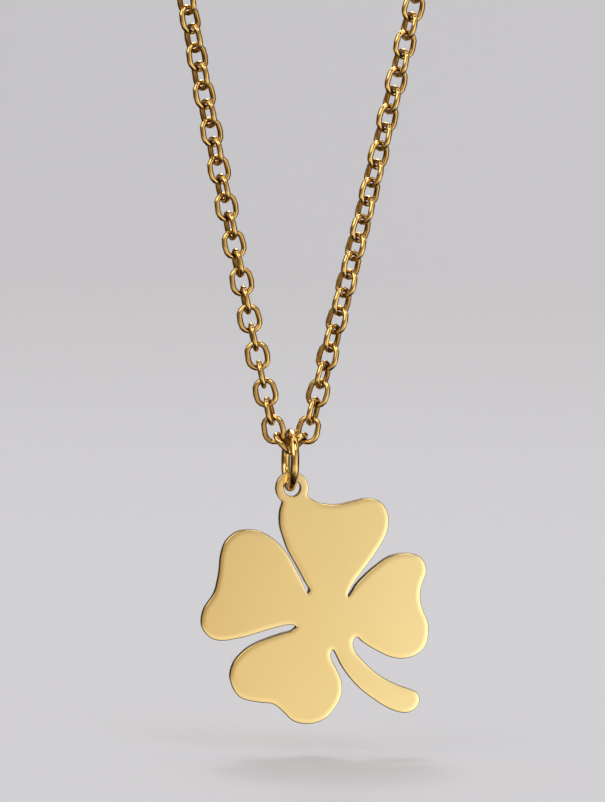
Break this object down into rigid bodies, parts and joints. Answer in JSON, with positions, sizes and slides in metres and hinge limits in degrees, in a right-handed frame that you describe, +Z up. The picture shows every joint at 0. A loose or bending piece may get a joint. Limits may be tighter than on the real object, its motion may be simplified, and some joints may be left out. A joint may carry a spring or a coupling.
{
  "type": "clover pendant necklace",
  "caption": "Polished gold clover-leaf pendant with a curved stem, hung by a lug and a round jump ring from a closed loop of fine oval cable chain, to wear round the neck.",
  "frame": {"origin": "where the loop hangs: the underside of the clasp at the top of the loop, in its middle", "axes": "+Z up, against gravity; the loop and the flat clover lie in the XZ plane; the clover's polished front faces -Y, with its stem towards +X"},
  "size_m": [0.0695, 0.0064, 0.2303],
  "materials": {
    "polished_gold": "mirror polished gold plating",
    "gold_wire": "bright gold plating"
  },
  "bodies": {
    "chain": {"chain_left": "gold_wire", "chain_right": "gold_wire", "clasp": "gold_wire"},
    "ring": {"jump_ring": "gold_wire"},
    "clover": {"clover": "polished_gold"}
  },
  "joints": [
    {"name": "ring_swing", "type": "hinge", "parent": "chain", "child": "ring", "pos_m": [0, 0, -0.19943], "axis": [1, 0, 0], "range_deg": [-75, 75]},
    {"name": "clover_swing", "type": "hinge", "parent": "ring", "child": "clover", "pos_m": [0, 0, -0.20217], "axis": [0, 1, 0], "range_deg": [-70, 100]}
  ]
}
